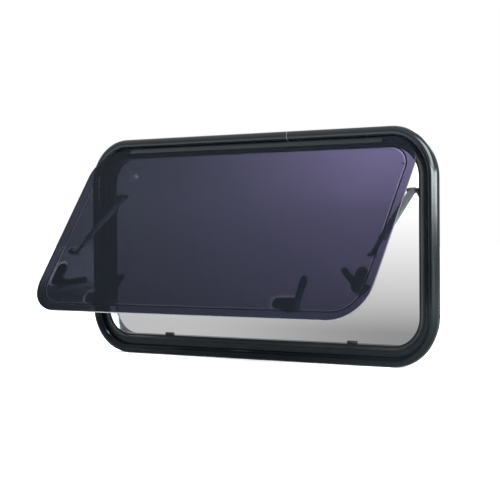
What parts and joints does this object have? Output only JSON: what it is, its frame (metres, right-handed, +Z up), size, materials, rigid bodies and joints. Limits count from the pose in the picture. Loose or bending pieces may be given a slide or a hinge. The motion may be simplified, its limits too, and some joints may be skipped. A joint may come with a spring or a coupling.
{
  "type": "top-hung caravan window",
  "caption": "Top-hung caravan window: bent black frame, tinted double acrylic sash open on two telescopic stays, turning latches and an inner clamping ring.",
  "frame": {"origin": "on the back face of the frame's flange, where it meets the wall's outer skin, at the middle of the bottom rail", "axes": "+X to the right seen from outside, +Y into the vehicle, +Z up"},
  "size_m": [0.987, 0.3166, 0.5371],
  "materials": {
    "frame_metal": "gloss black coating",
    "seal_rubber": "matte",
    "tinted_acrylic": "clear tinted, polished",
    "fitting_plastic": "fine satin",
    "plug_plastic": "satin",
    "stay_metal": "satin grey coating"
  },
  "bodies": {
    "frame": {"outer_frame": "frame_metal", "inner_frame": "frame_metal", "frame_seal": "seal_rubber", "hinge_rail": "frame_metal", "hinge_stop": "fitting_plastic", "catch_bottom_left": "fitting_plastic", "catch_bottom_right": "fitting_plastic", "catch_side_left": "fitting_plastic", "catch_side_right": "fitting_plastic", "stay_bracket_left": "fitting_plastic", "stay_bracket_right": "fitting_plastic"},
    "sash": {"outer_pane": "tinted_acrylic", "inner_pane": "tinted_acrylic", "sash_hinge_profile": "frame_metal", "vent_plug": "plug_plastic", "latch_base_bottom_left": "fitting_plastic", "latch_base_bottom_right": "fitting_plastic", "latch_base_side_left": "fitting_plastic", "latch_base_side_right": "fitting_plastic", "stay_foot_left": "fitting_plastic", "stay_foot_right": "fitting_plastic"},
    "tube_left": {"stay_tube_left": "stay_metal"},
    "rod_left": {"stay_rod_left": "stay_metal"},
    "tube_right": {"stay_tube_right": "stay_metal"},
    "rod_right": {"stay_rod_right": "stay_metal"},
    "latch_bottom_left": {"lever_bottom_left": "fitting_plastic"},
    "latch_bottom_right": {"lever_bottom_right": "fitting_plastic"},
    "latch_side_left": {"lever_side_left": "fitting_plastic"},
    "latch_side_right": {"lever_side_right": "fitting_plastic"}
  },
  "joints": [
    {"name": "sash_hinge", "type": "hinge", "parent": "frame", "child": "sash", "pos_m": [0, -0.0052, 0.48945], "axis": [-1, 0, 0], "range_deg": [-35.5, 0]},
    {"name": "stay_swing_left", "type": "hinge", "parent": "frame", "child": "tube_left", "pos_m": [-0.417, 0.022, 0.37775], "axis": [-1, 0, 0], "range_deg": [-50.24, 0]},
    {"name": "stay_slide_left", "type": "slide", "parent": "tube_left", "child": "rod_left", "axis": [0, -0.7955, -0.606], "range_m": [-0.04674, 0]},
    {"name": "stay_swing_right", "type": "hinge", "parent": "frame", "child": "tube_right", "pos_m": [0.417, 0.022, 0.37775], "axis": [-1, 0, 0], "range_deg": [-50.24, 0]},
    {"name": "stay_slide_right", "type": "slide", "parent": "tube_right", "child": "rod_right", "axis": [0, -0.7955, -0.606], "range_m": [-0.04674, 0]},
    {"name": "lever_turn_bottom_left", "type": "hinge", "parent": "sash", "child": "latch_bottom_left", "pos_m": [-0.254, -0.25683, 0.13805], "axis": [0, -0.8141, 0.5807], "range_deg": [-3, 102]},
    {"name": "lever_turn_bottom_right", "type": "hinge", "parent": "sash", "child": "latch_bottom_right", "pos_m": [0.276, -0.25683, 0.13805], "axis": [0, -0.8141, 0.5807], "range_deg": [-18, 87]},
    {"name": "lever_turn_side_left", "type": "hinge", "parent": "sash", "child": "latch_side_left", "pos_m": [-0.4205, -0.22983, 0.17591], "axis": [0, -0.8141, 0.5807], "range_deg": [-26, 79]},
    {"name": "lever_turn_side_right", "type": "hinge", "parent": "sash", "child": "latch_side_right", "pos_m": [0.4205, -0.22983, 0.17591], "axis": [0, -0.8141, 0.5807], "range_deg": [-48, 57]}
  ],
  "couplings": [
    {"joint": "stay_swing_left", "follows": "sash_hinge", "ratio": 1.4138},
    {"joint": "stay_slide_left", "follows": "sash_hinge", "m_per_rad": 0.075272},
    {"joint": "stay_swing_right", "follows": "sash_hinge", "ratio": 1.4138},
    {"joint": "stay_slide_right", "follows": "sash_hinge", "m_per_rad": 0.075272}
  ]
}
